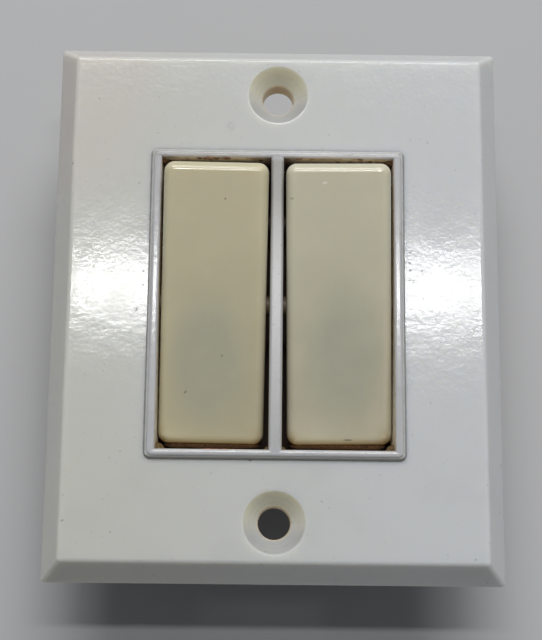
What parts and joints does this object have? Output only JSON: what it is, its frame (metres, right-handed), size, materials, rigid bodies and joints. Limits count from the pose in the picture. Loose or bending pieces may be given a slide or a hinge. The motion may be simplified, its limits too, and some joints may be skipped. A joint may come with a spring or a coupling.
{
  "type": "double light switch",
  "caption": "Double light switch: a bevelled white plate with two tall ivory rockers in a raised bezel, on a brown wiring base.",
  "frame": {"origin": "midway between the two fixing holes, in the plane of the wall, where the plate's rim sits", "axes": "+Z out of the face, +Y up the wall towards the rockers' raised ends, +X to the right"},
  "size_m": [0.07, 0.085, 0.0324],
  "materials": {
    "plate_white": "glossy moulded white, slightly aged",
    "bezel_white": "glossy moulded cool white",
    "rocker_ivory": "satin ivory, yellowed with age",
    "base_brown": "brown moulded phenolic",
    "brass": "pressed brass strip",
    "contact_silver": "silver alloy contact",
    "zinc_steel": "zinc-plated steel",
    "spring_steel": "bright spring wire",
    "plunger_nylon": "natural nylon"
  },
  "bodies": {
    "switch_body": {"front_plate": "plate_white", "bezel_frame": "bezel_white", "base_housing": "base_brown", "common_terminal_left": "brass", "switched_terminal_left": "brass", "fixed_contact_left": "contact_silver", "common_terminal_right": "brass", "switched_terminal_right": "brass", "fixed_contact_right": "contact_silver", "terminal_screw_1": "zinc_steel", "terminal_screw_2": "zinc_steel", "terminal_screw_3": "zinc_steel", "terminal_screw_4": "zinc_steel", "wire_clamp_1": "zinc_steel", "wire_clamp_2": "zinc_steel", "wire_clamp_3": "zinc_steel", "wire_clamp_4": "zinc_steel", "housing_screw_1": "zinc_steel", "housing_screw_2": "zinc_steel", "housing_screw_3": "zinc_steel", "housing_screw_4": "zinc_steel"},
    "rocker_left": {"rocker_left": "rocker_ivory", "plunger_spring_left": "spring_steel"},
    "plunger_left": {"plunger_left": "plunger_nylon"},
    "contact_lever_left": {"contact_lever_left": "brass", "moving_contact_left": "contact_silver"},
    "rocker_right": {"rocker_right": "rocker_ivory", "plunger_spring_right": "spring_steel"},
    "plunger_right": {"plunger_right": "plunger_nylon"},
    "contact_lever_right": {"contact_lever_right": "brass", "moving_contact_right": "contact_silver"}
  },
  "joints": [
    {"name": "rocker_left_tilt", "type": "hinge", "parent": "switch_body", "child": "rocker_left", "pos_m": [-0.0096, 0, 0.0031], "axis": [0.9999, -0.0105, 0], "range_deg": [-20, 0]},
    {"name": "plunger_left_slide", "type": "slide", "parent": "rocker_left", "child": "plunger_left", "axis": [-0.0018, -0.1736, 0.9848], "range_m": [0, 0.001], "stiffness_N_per_m": 300, "springref_m": -0.002, "deforming": ["plunger_spring_left"]},
    {"name": "contact_lever_left_tilt", "type": "hinge", "parent": "switch_body", "child": "contact_lever_left", "pos_m": [-0.0095, 0, -0.01005], "axis": [1, 0, 0], "range_deg": [0, 18]},
    {"name": "rocker_right_tilt", "type": "hinge", "parent": "switch_body", "child": "rocker_right", "pos_m": [0.00962, 0, 0.0031], "axis": [0.9999, 0.0131, 0], "range_deg": [-20, 0]},
    {"name": "plunger_right_slide", "type": "slide", "parent": "rocker_right", "child": "plunger_right", "axis": [0.0023, -0.1736, 0.9848], "range_m": [0, 0.001], "stiffness_N_per_m": 300, "springref_m": -0.002, "deforming": ["plunger_spring_right"]},
    {"name": "contact_lever_right_tilt", "type": "hinge", "parent": "switch_body", "child": "contact_lever_right", "pos_m": [0.0095, 0, -0.01005], "axis": [1, 0, 0], "range_deg": [0, 18]}
  ],
  "couplings": [
    {"joint": "contact_lever_left_tilt", "follows": "rocker_left_tilt", "ratio": -0.9},
    {"joint": "contact_lever_right_tilt", "follows": "rocker_right_tilt", "ratio": -0.9}
  ]
}
